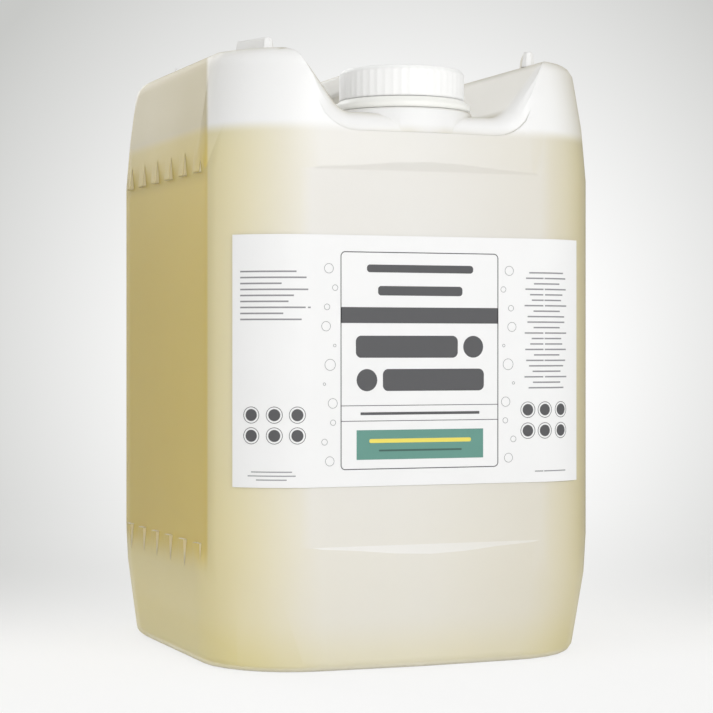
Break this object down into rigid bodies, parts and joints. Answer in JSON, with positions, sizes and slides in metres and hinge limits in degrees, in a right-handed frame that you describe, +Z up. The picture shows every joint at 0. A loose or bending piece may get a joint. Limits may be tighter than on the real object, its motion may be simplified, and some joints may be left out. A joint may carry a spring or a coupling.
{
  "type": "hand soap refill pack",
  "caption": "Square blow-moulded refill container of natural plastic with side humps, a centre handle, a screw cap with tamper band and a front label, filled with liquid hand soap.",
  "frame": {"origin": "middle of the face the container stands on", "axes": "+Z up, -Y towards the labelled front, +X to the right seen from the front"},
  "size_m": [0.2536, 0.2696, 0.3744],
  "materials": {
    "container_shell": "natural translucent polyethylene, satin",
    "hand_soap": "pale yellow liquid soap",
    "screw_cap": "white satin, ribbed skirt",
    "cap_liner": "white foam",
    "tamper_band": "white satin",
    "front_label": "white printed film"
  },
  "bodies": {
    "container": {"container_shell": "container_shell", "hand_soap": "hand_soap", "tamper_band": "tamper_band", "front_label": "front_label"},
    "lift": {"cap_liner": "cap_liner"},
    "cap": {"screw_cap": "screw_cap"}
  },
  "joints": [
    {"name": "cap_lift", "type": "slide", "parent": "container", "child": "lift", "axis": [0, 0, 1], "range_m": [0, 0.0075]},
    {"name": "cap_turn", "type": "hinge", "parent": "lift", "child": "cap", "pos_m": [0, -0.09, 0.356], "axis": [0, 0, 1], "range_deg": [0, 540]}
  ],
  "couplings": [
    {"joint": "cap_lift", "follows": "cap_turn", "m_per_rad": 0.00079577}
  ]
}
